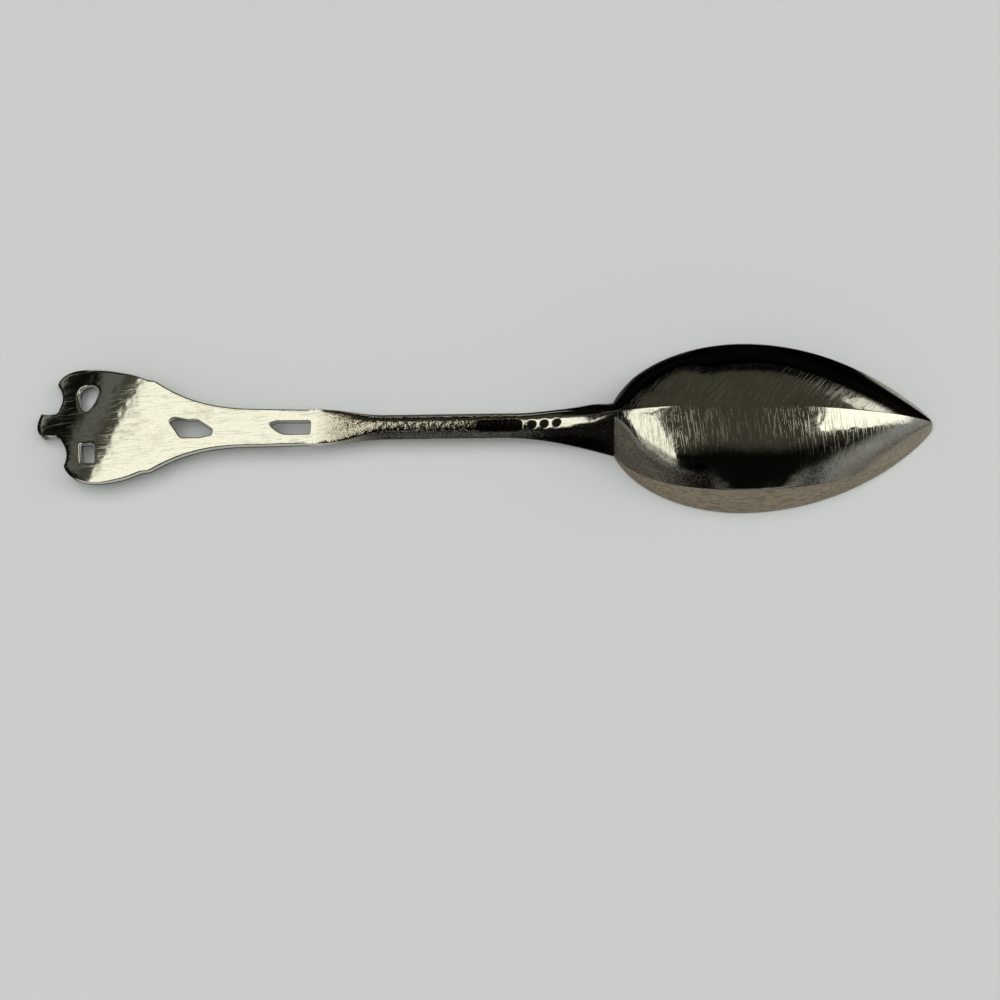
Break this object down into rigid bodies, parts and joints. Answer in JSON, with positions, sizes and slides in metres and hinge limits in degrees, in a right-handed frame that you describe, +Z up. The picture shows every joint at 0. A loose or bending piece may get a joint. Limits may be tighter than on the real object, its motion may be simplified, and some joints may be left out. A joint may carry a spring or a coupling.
{
  "type": "grapefruit spoon",
  "caption": "Silver citrus spoon with a keeled, pointed bowl, a slim half-round stem and a pierced, flared handle end curled down to a small finial, resting face down.",
  "frame": {"origin": "centre of the spoon's length and width, on the surface that it lies on face down", "axes": "+X along the spoon from the handle's end to the tip of the bowl, +Z up through the back of the bowl"},
  "size_m": [0.1514, 0.0297, 0.0114],
  "materials": {
    "silver_bowl": "worn polished silver with fine scratches",
    "silver_handle": "worn polished silver with warm tarnish in the piercings"
  },
  "bodies": {
    "root": {"bowl": "silver_bowl", "stem": "silver_handle", "terminal": "silver_handle", "finial": "silver_handle"}
  },
  "joints": []
}
